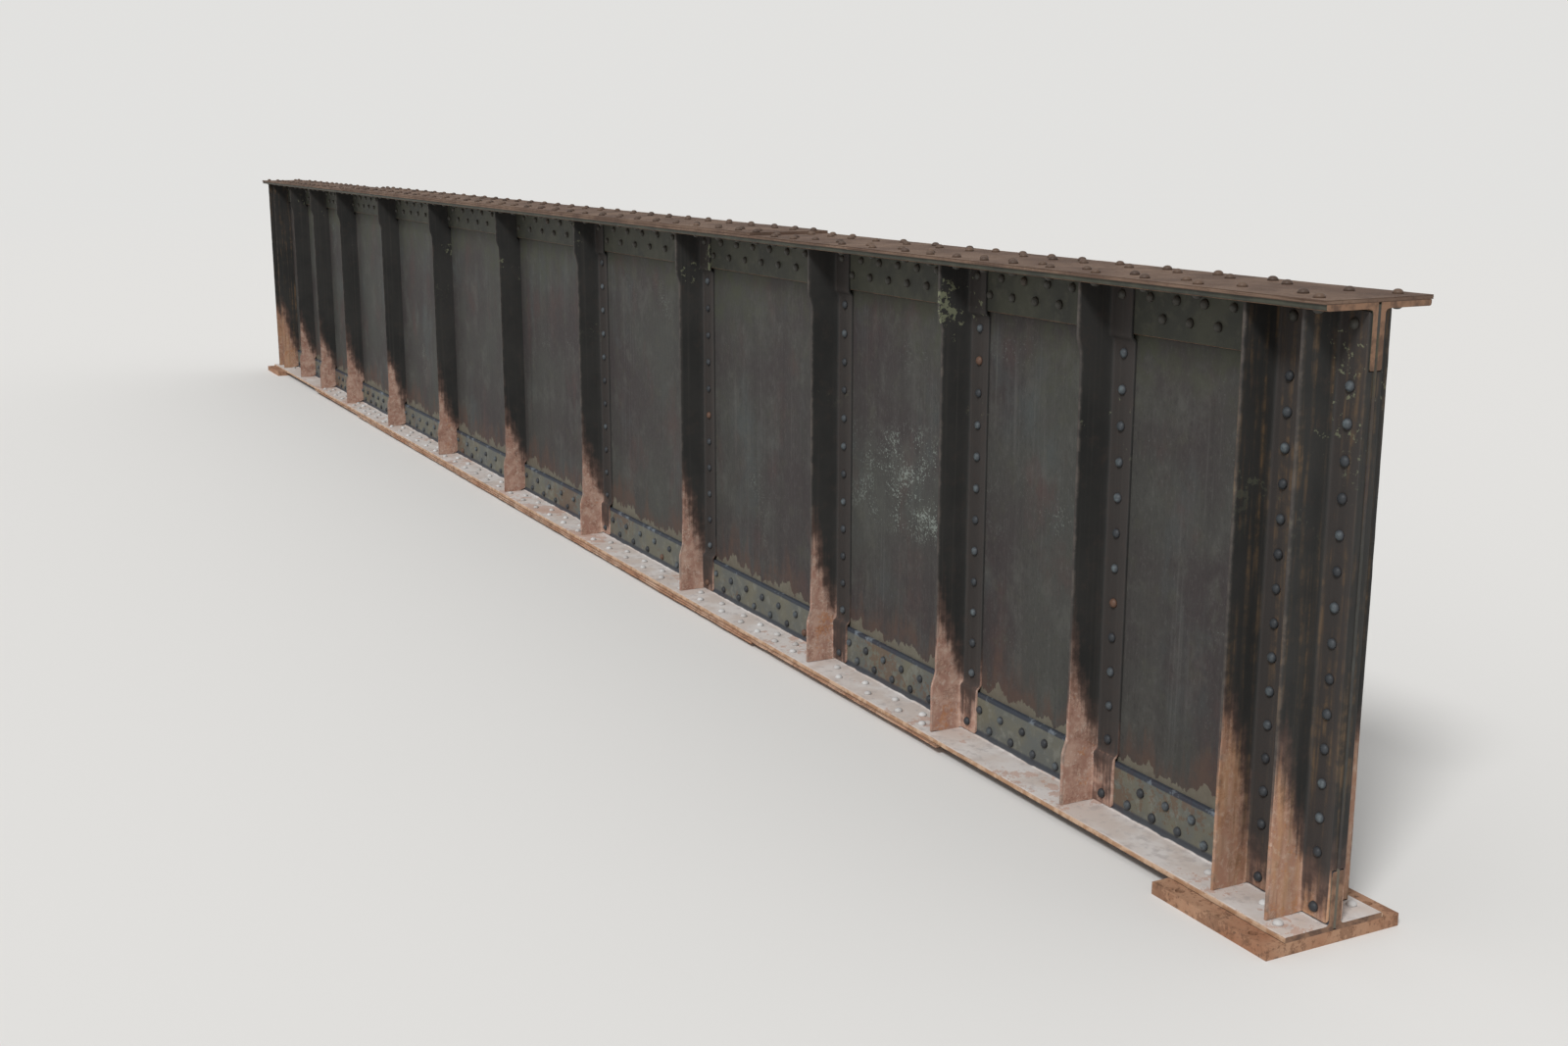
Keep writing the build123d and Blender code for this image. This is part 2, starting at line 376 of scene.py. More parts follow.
def flange_angle_paint():
    """Weathered paint, with a bare toe, a damp corner, a dusty ledge and rust at its free edge."""
    material, tree, shader, place = new_material("flange_angle_paint", 0.62)
    parts = axes(tree, place)
    height = parts["Z"]
    broad = mottle(tree, place, 5.0, 4.0, 0.6)
    middle = mottle(tree, place, 22.0, 5.0, 0.6)
    fine = mottle(tree, place, 180.0, 4.0, 0.7)
    colour = tint(tree, spread(tree, broad, 0.35, 0.65), grey_green, olive_green)
    colour = tint(tree, spread(tree, middle, 0.5, 0.7, 0.0, 0.7), colour, chalky_green)
    rust = use_group(tree, flakes, Size=0.03, Drift=0.6, Cover=0.52, Break=0.6)
    colour = tint(tree, rust, colour, thin_rust, 0.6)
    # Painted shade: the top angles get a darker copy of the paint, close to the web's
    dark = tint(tree, spread(tree, broad, 0.38, 0.62), shaded_green, shaded_olive)
    dark = tint(tree, spread(tree, middle, 0.48, 0.7, 0.0, 0.6), dark, shaded_dust)
    colour = tint(tree, calc(tree, "GREATER_THAN", height, top_edge - 0.1), colour, dark)
    # The rounded toe along the upright leg's edge is a blue-black band, with pale chips
    from_toe = calc(tree, "ABSOLUTE", calc(tree, "SUBTRACT", height, bottom_edge - toe_middle))
    toe = spread(tree, from_toe, toe_band_full, toe_ends, 1.0, 0.0)
    chips = spread(tree, mottle(tree, place, 11.0, 5.0, 0.65), 0.55, 0.63)
    colour = tint(tree, toe, colour, tint(tree, chips, toe_black, toe_chip), 0.85)
    # Painted shade darkens the inside corner with a dark blue
    corner = spread(tree, height, bottom_back + corner_shade_full_to, bottom_back + corner_shade_gone_from, 1.0, 0.0)
    colour = tint(tree, corner, colour, corner_painted_shade, 0.8)
    # Bare rust on the sawn ends and underneath
    looks = facing(tree)
    end_face = calc(tree, "GREATER_THAN", calc(tree, "ABSOLUTE", looks["X"]), 0.9)
    under_face = calc(tree, "LESS_THAN", looks["Z"], -0.7)
    bare_colour = tint(tree, spread(tree, middle, 0.38, 0.6), sawn_dark, sawn_rust)
    colour = tint(tree, calc(tree, "MAXIMUM", end_face, under_face), colour, bare_colour, 0.9)
    # Dust lies on the ledge, up to just above it
    dust = use_group(tree, ledge_dust, Cover=0.5, Grain=9.0)
    dust = times(tree, dust, spread(tree, height, foot + 0.002, foot + 0.008, 1.0, 0.0))
    colour = tint(tree, dust, colour, ledge_dust_colour(tree, broad, middle))
    # The ledge's free edge has rusted to tan scale, as the plates under it have
    outward = calc(tree, "ADD", calc(tree, "ABSOLUTE", parts["Y"]), waver(tree, middle, 0.006))
    free_edge = spread(tree, outward, ledge_reach - 0.0065, ledge_reach - 0.0005)
    on_ledge = calc(tree, "LESS_THAN", height, bottom_back + 0.04)
    edge_rust = tint(tree, spread(tree, middle, 0.42, 0.6), edge_orange, edge_tan)
    damp = calc(tree, "ADD", height, waver(tree, middle, 0.004))
    damp = spread(tree, damp, bottom_back + 0.0015, bottom_back + 0.0040, 1.0, 0.0)
    edge_rust = tint(tree, damp, edge_rust, damp_rust, 0.85)
    colour = tint(tree, times(tree, free_edge, on_ledge), colour, edge_rust)
    relief = times(tree, calc(tree, "ADD", fine, middle), 0.5)
    coat(tree, shader, colour, relief, 0.002, 0.5)
    return material


dress(flange_angle_paint(), *[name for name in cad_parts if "flange_angle" in name])


# Cover plates
# Flat plates riveted to the backs of the angles, two at each flange, that thicken it towards midspan.
# Rust has grown between the layers and swollen their edges, and no paint is left on them.
top_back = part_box("top_flange_angle_outer")[1].z
cover_plate = bottom_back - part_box("bottom_cover_plate_1")[0].z
station_spacing = 0.03  # along a plate
across_shares = [-1.0, -0.985, -0.95, -0.9, -0.84, -0.78, -0.5, 0.0, 0.5, 0.78, 0.84, 0.9, 0.95, 0.985, 1.0]
edge_shares = [0.22, 0.45, 0.55, 0.8]  # heights in a plate's edge, as shares of its thickness
loose_margin = 0.045  # at each side, beyond what the rivets hold down
edge_swing = 0.0025  # of the eaten edge, round its mean loss
edge_loss = 0.0015
end_loss = 0.004
mean_lift = 0.35  # of a loose edge, as a share of the swell
groove_depth = 0.003  # of the layers that show in the edge, and how far back they lie
groove_back = 0.0005
pit_depth = 0.0005
crisp_from = math.radians(38)  # angle between two faces from which their edge is crisp

orange_rust = (0.40, 0.212, 0.128, 1)
tan_rust = (0.50, 0.340, 0.245, 1)
brown_rust = (0.235, 0.115, 0.062, 1)
layer_rust = (0.10, 0.058, 0.040, 1)
blister_rust = (0.165, 0.082, 0.048, 1)
old_brown = (0.062, 0.047, 0.039, 1)
old_tan = (0.118, 0.078, 0.056, 1)


def plate_rust(name, fresh, pale, joint=None, sheltered=0.0, grain=(0.08, 1.0, 4.0)):
    """Bare scaly rust, fresh and pale in patches, under dark brown by as much as it was sheltered.

    Damp keeps the edges dark on both sides of the joints between plates, one of them at the given height.
    """
    material, tree, shader, place = new_material(name, 0.85)
    broad = mottle(tree, place, 3.0, 4.0, 0.6)
    middle = mottle(tree, place, 30.0, 6.0, 0.65)
    layers = mottle(tree, place, 60.0, 4.0, 0.6, grain)
    colour = tint(tree, spread(tree, broad, 0.35, 0.65), fresh, pale)
    colour = tint(tree, spread(tree, middle, 0.48, 0.7, 0.0, 0.8), colour, brown_rust)
    colour = tint(tree, spread(tree, layers, 0.55, 0.7, 0.0, 0.6), colour, layer_rust)
    # Blisters of dark scale
    blisters = use_group(tree, flakes, Size=0.014, Drift=0.11, Cover=0.5, Clump=1.1, Break=0.585)
    colour = tint(tree, blisters, colour, blister_rust, 0.5)
    colour = tint(tree, sheltered, colour, tint(tree, spread(tree, broad, 0.38, 0.62), old_brown, old_tan))
    if joint:
        height = axes(tree, place)["Z"]
        from_joint = calc(tree, "PINGPONG", calc(tree, "SUBTRACT", height, joint), cover_plate / 2)
        damp = calc(tree, "ADD", from_joint, waver(tree, middle, 0.004))
        damp = spread(tree, damp, 0.0012, 0.0030, 1.0, 0.0)
        level = calc(tree, "ABSOLUTE", facing(tree)["Z"])
        damp = times(tree, damp, calc(tree, "LESS_THAN", level, 0.5))
        colour = tint(tree, damp, colour, damp_rust, 0.8)
    relief = times(tree, calc(tree, "ADD", middle, layers), 0.6)
    relief = calc(tree, "ADD", relief, times(tree, blisters, 0.35))
    coat(tree, shader, colour, relief, 0.003, 0.7)
    return material


cover_rust = plate_rust("cover_plate_rust", orange_rust, tan_rust, joint=bottom_back)
top_rust = plate_rust("top_plate_rust", orange_rust, tan_rust, joint=top_back, sheltered=0.82)


def add_object(name, data):
    """Put a mesh, a lamp or a camera into the scene."""
    added = bpy.data.objects.new(name, data)
    bpy.context.scene.collection.objects.link(added)
    return added


def skin(name, rings, material):
    """Close a row of like rings of points into one solid with crisp edges."""
    count = len(rings[0])
    vertices = [point for ring in rings for point in ring]
    faces = []
    for station in range(len(rings) - 1):
        low = station * count
        for k in range(count):
            after = (k + 1) % count
            faces.append((low + k, low + after, low + count + after, low + count + k))
    faces.append(tuple(reversed(range(count))))
    faces.append(tuple(range(len(vertices) - count, len(vertices))))
    mesh = bpy.data.meshes.new(name)
    mesh.from_pydata(vertices, [], faces)
    shape = bmesh.new()
    shape.from_mesh(mesh)
    bmesh.ops.recalc_face_normals(shape, faces=shape.faces)
    shape.to_mesh(mesh)
    shape.free()
    mesh.polygons.foreach_set("use_smooth", [True] * len(mesh.polygons))
    mesh.set_sharp_from_angle(angle=crisp_from)
    mesh.materials.append(material)
    piece = add_object(name, mesh)
    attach(piece, "root")
    return piece


def ripple(x, rate, seed):
    """Smooth random swing along the girder, from -1 to 1."""
    return noise.noise(Vector((x * rate, seed * 7.3, 0.5)))


def rusted_plate(node, swell, away, seed):
    """A cover plate whose edges are eaten by rust and pushed off the layer before it by up to the swell."""
    low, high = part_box(node)
    near_z, far_z = (low.z, high.z) if away > 0 else (high.z, low.z)
    clamped = high.y - loose_margin
    stations = round((high.x - low.x) / station_spacing)
    rings = []
    for station in range(stations + 1):
        x = low.x + (high.x - low.x) * station / stations
        at_end = station in (0, stations)
        lifts = {}
        for side in (-1, 1):
            wave = ripple(x, 1.1, seed + side) + 0.6 * ripple(x, 3.1, seed + 2 * side)
            lifts[side] = swell * max(0.0, mean_lift + wave)
        near_face, far_face = [], []
        for share in across_shares:
            side = 1 if share > 0 else -1
            y = share * high.y
            loose = max(0.0, abs(y) - clamped) / loose_margin
            lift = lifts[side] * loose ** 1.5
            end_eaten = end_loss * noise.noise(Vector((y * 14, seed, 3.0))) if at_end else 0.0
            end_x = x - math.copysign(end_eaten, x)
            y += side * (edge_swing * ripple(x, 9.0, seed + 5 * side) - edge_loss) * loose ** 3
            pit = pit_depth * noise.noise(Vector((x * 20, y * 20, seed)))
            near_face.append((end_x, y, near_z + away * lift))
            far_face.append((end_x, y, far_z + away * (lift + pit)))
        edges = {}
        for side, k in ((-1, 0), (1, -1)):
            edge_x, edge_y, start_z = near_face[k]
            finish_z = far_face[k][2]
            edges[side] = []
            for share in edge_shares:
                groove = groove_depth * noise.noise(Vector((x * 3.0, share * 9.0, seed + side))) - groove_back
                z = start_z + (finish_z - start_z) * share
                edges[side].append((edge_x, edge_y + side * groove, z))
        rings.append(near_face + edges[1] + far_face[::-1] + edges[-1][::-1])
    plate = skin(node + "_rusted", rings, top_rust if away > 0 else cover_rust)
    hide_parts(node)


rusted_plate("bottom_cover_plate_1", 0.0022, -1, 1.0)
rusted_plate("bottom_cover_plate_2", 0.0045, -1, 2.0)
rusted_plate("top_cover_plate_1", 0.0015, 1, 3.0)
rusted_plate("top_cover_plate_2", 0.0020, 1, 4.0)


# Sole plates
# Thick plates riveted up under the ends of the bottom flange, wider than it. The girder stands on them,
# and they carry the deepest rust of all, yellow-brown and scaly.
deep_rust = (0.320, 0.148, 0.082, 1)
ochre_rust = (0.430, 0.255, 0.160, 1)
sole_rust = plate_rust("sole_plate_rust", deep_rust, ochre_rust, sheltered=0.1, grain=(1.0, 1.0, 1.0))
dress(sole_rust, "sole_plate_left", "sole_plate_right")


# Stiffeners
# Rolled 6 x 5 x 3/8 in angles in pairs across the web, crimped at each end to step over the flange
# angles. Their paint is nearly black, and their feet are bare red rust lightened with painted sunlight.
web_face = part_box("web_plate")[1].y
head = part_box("stiffener_outer_01")[1].z
stiffener_plate = 0.010
stiffener_root = 0.012  # radius in the inside corner
stiffener_toe = 0.005  # radius at the edge of each leg
root_end = 0.020  # out from the web leg's back, where the root has nearly run out
crimp_start = 0.006  # past the edge of the flange angle's leg
web_crimp = 0.026  # length of the step along the web leg, and what is added at the outer leg's edge
edge_crimp = 0.055
cope = 0.0175  # cut off the inside corner of each end, round the flange angle's root
bare_sunlit_height = 0.06  # of bare rust and painted sunlight against the web, and what is added at the outer leg's edge
bare_sunlit_climb = 0.40
bare_sunlit_swing = 0.16  # unevenness of its upper edge
bare_sunlit_runs = 0.07  # length that runs add to it
bare_sunlit_drop = 0.15  # how much lower it ends on a leg against the web
foot_runs_start = 0.50  # from the girder's end, and where it has all turned yellow
foot_runs_full = 0.36
scaly_reach = 0.35  # from the ends, within which the surface is rough with scale
scale_depth = 0.0011
eaten_least = 0.0005  # taken off the foot's end by rust, and the most that it took besides
eaten_depth = 0.009
edge_sway = 0.0022  # of the outer leg's free edge to the side
nick_depth = 0.0012
skin_depth = 0.001  # nearer than this, a point lies on the back of a leg

paint_black = (0.025, 0.025, 0.024, 1)
paint_charcoal = (0.036, 0.035, 0.033, 1)
paint_brown = (0.048, 0.041, 0.038, 1)
paint_wash = (0.064, 0.058, 0.052, 1)
paint_stain = (0.056, 0.042, 0.036, 1)
foot_red = (0.345, 0.198, 0.150, 1)
foot_pink = (0.460, 0.305, 0.238, 1)
foot_dust = (0.530, 0.415, 0.345, 1)
foot_orange = (0.42, 0.190, 0.085, 1)
foot_scab = (0.165, 0.078, 0.050, 1)
foot_ochre = (0.400, 0.212, 0.105, 1)
foot_yellow = (0.500, 0.275, 0.120, 1)
foot_brown = (0.185, 0.086, 0.046, 1)
dull_dark = (0.085, 0.052, 0.042, 1)
dull_red = (0.128, 0.080, 0.064, 1)
rubbed_edge_highlight = (0.100, 0.086, 0.075, 1)
pale_lichen = (0.200, 0.212, 0.135, 1)
ochre_wash = (0.180, 0.112, 0.058, 1)


def bare_sunlit_depth(tree, place, broad, middle, against_web):
    """How deep a point is in the bare foot of rust and painted sunlight, which climbs towards the outer leg's
    free edge.
    """
    parts = axes(tree, place)
    outer_edge = web_face + flange_plate + 0.15
    climb = spread(tree, calc(tree, "ABSOLUTE", parts["Y"]), web_face, outer_edge, 0.0, bare_sunlit_climb)
    uneven_climb = spread(tree, broad, 0.3, 0.7, 0.0, bare_sunlit_swing)
    inside = calc(tree, "ADD", climb, uneven_climb, foot + bare_sunlit_height, waver(tree, middle, bare_sunlit_swing))
    runs = use_group(tree, rain_streaks, Width=0.016, Run=0.30, Low=0.3, High=0.7)
    inside = calc(tree, "ADD", inside, times(tree, runs, bare_sunlit_runs))
    return calc(tree, "SUBTRACT", inside, parts["Z"], times(tree, against_web, bare_sunlit_drop))


def foot_rust_and_sunlight(tree, place, middle, near_ends):
    """Bare red rust lightened by painted sunlight, dusty, flecked with orange, and yellower with brown runs
    near the girder's ends.
    """
    colour = tint(tree, spread(tree, middle, 0.40, 0.62), foot_red, foot_pink)
    dusty = spread(tree, mottle(tree, place, 45.0, 5.0, 0.7), 0.50, 0.66, 0.0, 0.7)
    colour = tint(tree, dusty, colour, foot_dust)
    orange = use_group(tree, flakes, Size=0.018, Drift=0.16, Cover=0.58, Clump=1.0, Break=0.63)
    colour = tint(tree, orange, colour, foot_orange, 0.6)
    scabs = use_group(tree, flakes, Size=0.012, Drift=0.09, Cover=0.5, Clump=1.0, Break=0.595)
    colour = tint(tree, scabs, colour, foot_scab, 0.38)
    colour = tint(tree, near_ends, colour, foot_ochre, 0.25)
    yellow_runs = use_group(tree, rain_streaks, Width=0.045, Run=0.30, Low=0.44, High=0.66)
    colour = tint(tree, times(tree, yellow_runs, near_ends), colour, foot_yellow, 0.35)
    brown_runs = use_group(tree, rain_streaks, Width=0.035, Run=0.30, Low=0.50, High=0.68)
    patchy = spread(tree, middle, 0.36, 0.60, 0.05, 0.65)
    return tint(tree, times(tree, brown_runs, patchy, near_ends), colour, foot_brown)


def stiffener_paint():
    """Nearly black paint over a rusty foot with painted sunlight, lichen high up and a painted highlight on a
    rubbed free edge.
    """
    material, tree, shader, place = new_material("stiffener_paint", 0.7)
    parts = axes(tree, place)
    broad = mottle(tree, place, 2.2, 4.0, 0.6)
    middle = mottle(tree, place, 18.0, 6.0, 0.65)
    fine = mottle(tree, place, 150.0, 4.0, 0.7)
    colour = tint(tree, spread(tree, broad, 0.35, 0.65), paint_black, paint_charcoal)
    # The legs against the web are browner than the ones that stand out
    against_web = spread(tree, calc(tree, "ABSOLUTE", facing(tree)["Y"]), 0.5, 0.9)
    colour = tint(tree, against_web, colour, paint_brown, 0.75)
    runs = use_group(tree, rain_streaks, Width=0.02, Run=1.2, Low=0.5, High=0.75)
    colour = tint(tree, runs, colour, paint_wash, 0.3)
    colour = tint(tree, spread(tree, middle, 0.5, 0.75, 0.0, 0.4), colour, paint_stain)
    # Dull rust comes before the bare foot, which is rust with painted sunlight
    bare = bare_sunlit_depth(tree, place, broad, middle, against_web)
    dull = tint(tree, spread(tree, middle, 0.4, 0.6), dull_dark, dull_red)
    colour = tint(tree, spread(tree, bare, -0.22, 0.02, 0.0, 0.9), colour, dull)
    from_midspan = calc(tree, "ABSOLUTE", parts["X"])
    near_ends = spread(tree, from_midspan, half_length - foot_runs_start, half_length - foot_runs_full)
    # Painted sunlight: the bare foot's rust is lightened to pale pink, and climbs highest at the outer leg's
    # free edge
    colour = tint(tree, spread(tree, bare, -0.06, 0.10), colour, foot_rust_and_sunlight(tree, place, middle, near_ends))
    # The free edge of the outer leg is rubbed bare, and lighter still as a painted highlight
    edge = add_node(tree, "Attribute", attribute_name="edge").outputs["Fac"]
    rubbed_and_highlight = times(tree, edge, spread(tree, middle, 0.42, 0.64, 0.05, 0.6))
    colour = tint(tree, rubbed_and_highlight, colour, rubbed_edge_highlight)
    # Pale green lichen high up
    lichen = use_group(tree, flakes, Size=0.03, Drift=0.35, Cover=0.60, Break=0.62)
    lichen = times(tree, lichen, spread(tree, parts["Z"], 1.2, 1.9))
    colour = tint(tree, lichen, colour, pale_lichen, 0.75)
    # Yellow-brown runs near the girder's ends
    rust_runs = use_group(tree, rain_streaks, Width=0.022, Run=0.45, Low=0.46, High=0.78)
    rust_runs = times(tree, rust_runs, spread(tree, middle, 0.40, 0.62, 0.1, 0.65), near_ends)
    colour = tint(tree, rust_runs, colour, ochre_wash)
    relief = calc(tree, "ADD", times(tree, fine, 0.5), times(tree, middle, 0.6))
    coat(tree, shader, colour, relief, 0.002, 0.5)
    return material


black_paint = stiffener_paint()
dress(black_paint, *[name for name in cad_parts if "filler" in name])


def ease(share):
    """Smooth step from 0 to 1."""
    share = min(max(share, 0.0), 1.0)
    return share * share * (3 - 2 * share)


def angle_outline(web_leg, outer_leg, plate, root, toe):
    """Section of an angle from its heel: p along the web leg and q out from the web."""
    arc = [k / 3 * math.pi / 2 for k in range(4)]
    points = [(0.0, 0.0), (web_leg * 0.5, 0.0), (web_leg * 0.9, 0.0), (web_leg, 0.0)]
    points += [(web_leg - toe + toe * math.cos(a), plate - toe + toe * math.sin(a)) for a in arc]
    points += [(web_leg * 0.6, plate)]
    points += [(plate + root - root * math.sin(a), plate + root - root * math.cos(a)) for a in arc]
    points += [(plate, outer_leg * share) for share in (0.3, 0.5, 0.7, 0.85, 0.92)]
    points += [(plate - toe + toe * math.cos(a), outer_leg - toe + toe * math.sin(a)) for a in arc]
    points += [(0.0, outer_leg * share) for share in (1.0, 0.92, 0.85, 0.7, 0.5, 0.3)]
    return points


def stiffener_heights():
    """Stations up an angle: close together at its feet, where it is crimped and rusted."""
    near_end = [0.0, 0.002, 0.012, 0.025, 0.04, 0.06, 0.08, 0.1, 0.12, 0.14, 0.16]
    near_end += [0.17 + 0.008 * k for k in range(16)] + [0.31, 0.34, 0.38, 0.43, 0.49]
    between = head - foot - 2 * near_end[-1]
    middle = [near_end[-1] + between * k / 24 for k in range(1, 24)]
    return near_end + middle + [head - foot - h for h in reversed(near_end)]


def heel_of(node):
    """Where a stiffener's heel is along X, and the way its web leg turns from there, -1 for left."""
    low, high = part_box(node)
    return (low.x, 1) if low.x > 0 else (high.x, -1)


def stiffener_angle(node, straight, seed):
    """A stiffener with its soft crimps, wavy outer edge and rust-eaten foot, which replaces its node."""
    low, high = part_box(node)
    heel_x, turned = heel_of(node)
    out = -1 if high.y < 0 else 1
    outer_leg = max(abs(low.y), abs(high.y)) - web_face - flange_plate
    outline = angle_outline(high.x - low.x, outer_leg, stiffener_plate, stiffener_root, stiffener_toe)
    crimp_foot = bottom_edge + crimp_start - foot
    rings = []
    for up in stiffener_heights():
        z = foot + up
        from_end = min(up, head - foot - up)
        low_end = up < (head - foot) / 2
        scaly = scale_depth * ease(1.0 - from_end / scaly_reach) * (1.0 if low_end else 0.3)
        sway = edge_sway * noise.noise(Vector((seed, z * 2.2, 0.0)))
        ring = []
        for p, q in outline:
            share = q / outer_leg
            crimp_length = web_crimp + edge_crimp * ease((q - root_end) / (outer_leg - root_end))
            step = 1.0 if straight else 1.0 - ease((from_end - crimp_foot) / crimp_length)
            nick = nick_depth * noise.noise(Vector((seed + 9, z * 22.0, p * 30))) * ease((share - 0.9) / 0.1)
            scale = scaly * noise.noise(Vector((seed, z * 34.0, q * 34.0)))
            aside = sway * share ** 2
            if q > stiffener_plate + skin_depth:
                aside += scale if p > skin_depth else -scale
            away = web_face + flange_plate * step + q
            if q > skin_depth:
                away += nick + (abs(scale) if q < root_end else 0.0)
            lost = max(0.0, cope - q)
            if low_end:
                lost += eaten_depth * max(0.0, noise.noise(Vector((seed, q * 26.0, 5.0)))) + eaten_least
            pulled_in = max(0.0, lost - from_end) * (1 if low_end else -1)
            ring.append((heel_x + turned * (p + aside), out * away, z + pulled_in))
        rings.append(ring)
    angle = skin(node + "_worn", rings, black_paint)
    edge = [1.0 if q > outer_leg - stiffener_toe - skin_depth else 0.0 for p, q in outline]
    angle.data.attributes.new("edge", "FLOAT", "POINT").data.foreach_set("value", edge * len(rings))
    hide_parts(node)


for k, node in enumerate(sorted(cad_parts)):
    if ("stiffener" in node or "end_angle" in node) and "filler" not in node:
        stiffener_angle(node, not node[-1].isdigit(), 3.7 * k)


# Rivets
# About 7/8 in, driven hot, with domed heads 1 7/16 in across on both faces of the web and on both sides
# of the flanges. Weather has worn the paint off their crowns, and the crowns carry a painted highlight as
# well.
head_radius = 0.0182
head_height = 0.0155
head_lean = 0.0012
head_sunk = 0.001  # of the rim, so that no gap shows under it
head_sides = 12
head_rings = 4

head_black = (0.032, 0.034, 0.038, 1)
head_blue = (0.062, 0.070, 0.078, 1)
worn_crown_and_highlight = (0.150, 0.182, 0.192, 1)
rusty_head = (0.120, 0.068, 0.047, 1)
shaded_head = (0.058, 0.053, 0.043, 1)
rusty_rim = (0.055, 0.035, 0.026, 1)
bleached_grey = (0.42, 0.40, 0.385, 1)
bleached_white = (0.60, 0.60, 0.595, 1)
bare_dark = (0.075, 0.050, 0.038, 1)
bare_brown = (0.135, 0.088, 0.062, 1)


def rivet_paint():
    """Dark paint worn off the crown, which has a painted highlight, bleached in dust and rusty where bare."""
    material, tree, shader, place = new_material("rivet_paint", 0.5)
    tone = add_node(tree, "Attribute", attribute_name="tone").outputs["Fac"]
    rise = add_node(tree, "Attribute", attribute_name="rise").outputs["Fac"]
    dusty = add_node(tree, "Attribute", attribute_name="dusty").outputs["Fac"]
    middle = mottle(tree, place, 60.0, 4.0, 0.6)
    colour = tint(tree, tone, head_black, head_blue)
    patchy = spread(tree, middle, 0.4, 0.6, 0.2, 0.7)
    crown_share = spread(tree, tone, 0.35, 0.95, 0.05, 0.9)
    # Painted highlight: the crowns of some heads get a pale blue-grey, over their worn paint
    crown = times(tree, spread(tree, rise, 0.45, 0.95), patchy, crown_share)
    colour = tint(tree, crown, colour, worn_crown_and_highlight)
    colour = tint(tree, calc(tree, "GREATER_THAN", tone, 0.97), colour, rusty_head)
    # Painted shade under the top flange makes these heads as dark as the angles
    sheltered = calc(tree, "GREATER_THAN", axes(tree, place)["Z"], top_edge - 0.01)
    colour = tint(tree, sheltered, colour, shaded_head, 0.85)
    colour = tint(tree, spread(tree, rise, 0.0, 0.35, 1.0, 0.0), colour, rusty_rim, 0.6)
    bleached = tint(tree, tone, bleached_grey, bleached_white)
    colour = tint(tree, spread(tree, dusty, 0.5, 1.0), colour, bleached)
    bare = tint(tree, tone, bare_dark, bare_brown)
    colour = tint(tree, calc(tree, "LESS_THAN", dusty, -0.5), colour, bare)
    coat(tree, shader, colour, middle, 0.001, 0.5)
    return material


worn_paint = rivet_paint()


def rivet_heads(name, seats, direction, dusty=0.0):
    """One mesh of domed heads at the given points, all of them looking the same way.

    dusty is 1 for heads that stand in dust, and -1 for bare rusty ones.
    """
    vertices, faces, rise, tone = [], [], [], []
    axis = Vector(direction)
    aside = axis.orthogonal().normalized()
    over = axis.cross(aside)
    for seat in seats:
        first = len(vertices)
        size = random.uniform(0.95, 1.05)
        lean = (aside * random.uniform(-1, 1) + over * random.uniform(-1, 1)) * head_lean
        shade = random.random()
        turn = random.uniform(0, math.pi)
        for ring in range(head_rings):
            climb = ring / head_rings * math.pi / 2
            radius = head_radius * size * math.cos(climb) ** 0.85
            lift = head_height * size * math.sin(climb) - (head_sunk if ring == 0 else 0)
            for side in range(head_sides):
                angle = turn + 2 * math.pi * side / head_sides
                around = aside * math.cos(angle) + over * math.sin(angle)
                vertices.append(Vector(seat) + around * radius + axis * lift + lean * math.sin(climb))
                rise.append(math.sin(climb))
                tone.append(shade)
        vertices.append(Vector(seat) + axis * head_height * size + lean)
        rise.append(1.0)
        tone.append(shade)
        crown = len(vertices) - 1
        for ring in range(head_rings - 1):
            for side in range(head_sides):
                low = first + ring * head_sides
                after = (side + 1) % head_sides
                faces.append((low + side, low + after, low + head_sides + after, low + head_sides + side))
        last = first + (head_rings - 1) * head_sides
        for side in range(head_sides):
            faces.append((last + side, last + (side + 1) % head_sides, crown))
        faces.append(tuple(first + side for side in reversed(range(head_sides))))
    mesh = bpy.data.meshes.new(name)
    mesh.from_pydata(vertices, [], faces)
    for label, values in [("rise", rise), ("tone", tone), ("dusty", [dusty] * len(vertices))]:
        mesh.attributes.new(label, "FLOAT", "POINT").data.foreach_set("value", values)
    mesh.polygons.foreach_set("use_smooth", [True] * len(mesh.polygons))
    mesh.materials.append(worn_paint)
    heads = add_object(name, mesh)
    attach(heads, "root")


# Rows along the flanges, from the angles' backs or from the middle of the web
flange_rows = (0.066, 0.136)
cover_gauges = (0.093, 0.157)
midspan_pitch = 0.272  # of each row through the upright legs
end_pitch = 0.152
end_pitch_from = 5.2  # from midspan
cover_pitch = 0.135  # from one row's rivet to the other row's next
close_cover_pitch = 0.098
close_pitch_reach = 0.45  # on both sides of a cover plate's end
cover_end_margin = 0.03
girder_end_margin = 0.05

# Rows up the stiffeners: gauge from the heel, margin from the flange angles' edges, and pitch
stiffener_gauge = 0.071
crimped_margin = 0.072
straight_margin = 0.05
middle_pitch = 0.152
outer_pitch = 0.127
outer_pitch_from = 4.0  # from midspan
straight_pitch = 0.114

crimped_nodes = sorted(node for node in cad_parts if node.startswith("stiffener_outer_"))
straight_kinds = ("bearing_stiffener", "end_angle")
straight_nodes = [f"{kind}_outer_{end}" for kind in straight_kinds for end in ("right", "left")]
heels = [heel_of(node) for node in crimped_nodes + straight_nodes]
covered = [(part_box(node)[0].x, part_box(node)[1].x) for node in crimped_nodes + straight_nodes]


def flange_pitch(x):
    """Distance between the rivets of one row, which shortens from midspan to the ends."""
    share = min(abs(x) / end_pitch_from, 1.0)
    return midspan_pitch - (midspan_pitch - end_pitch) * share


